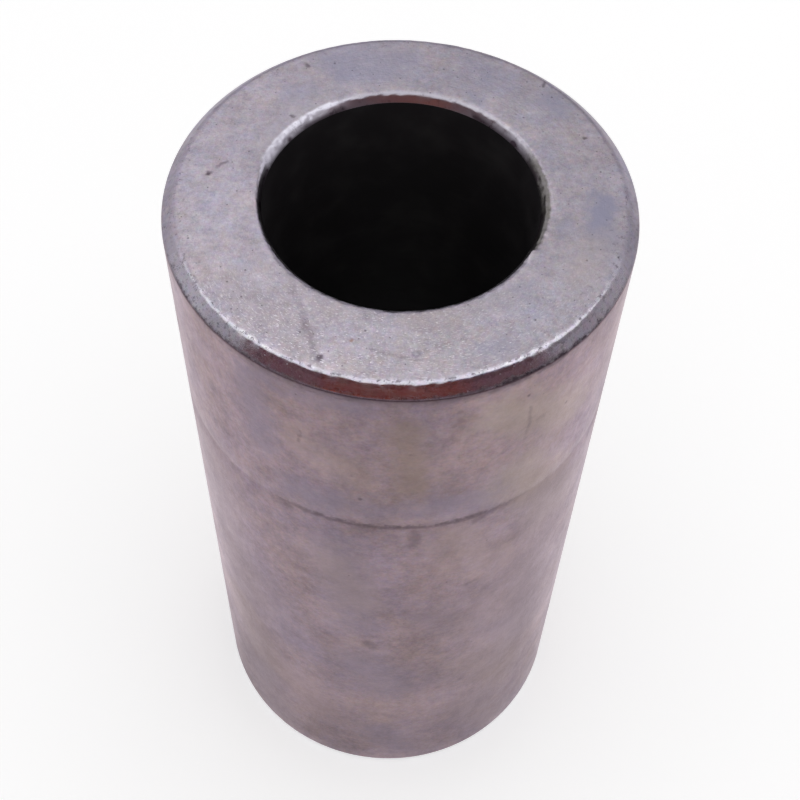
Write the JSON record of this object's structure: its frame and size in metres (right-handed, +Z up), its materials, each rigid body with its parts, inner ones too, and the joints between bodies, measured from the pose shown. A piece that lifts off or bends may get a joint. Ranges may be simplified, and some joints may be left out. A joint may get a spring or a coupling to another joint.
{
  "type": "spacer sleeve",
  "caption": "Short thick-walled turned steel sleeve with a plain through bore and chamfered ends, used over a bolt to hold two parts a fixed distance apart.",
  "frame": {"origin": "centre of the bottom end face, on the sleeve's axis", "axes": "+Z up along the bore axis, from the bottom end face to the top one; the sleeve is round, so +X and +Y are free"},
  "size_m": [0.03, 0.03, 0.06],
  "materials": {
    "plated_steel": "satin zinc plating with a cloudy passivated colour, mauve grey with beige patches, and a dark oxide film inside the bore"
  },
  "bodies": {
    "root": {"spacer_sleeve": "plated_steel"}
  },
  "joints": []
}
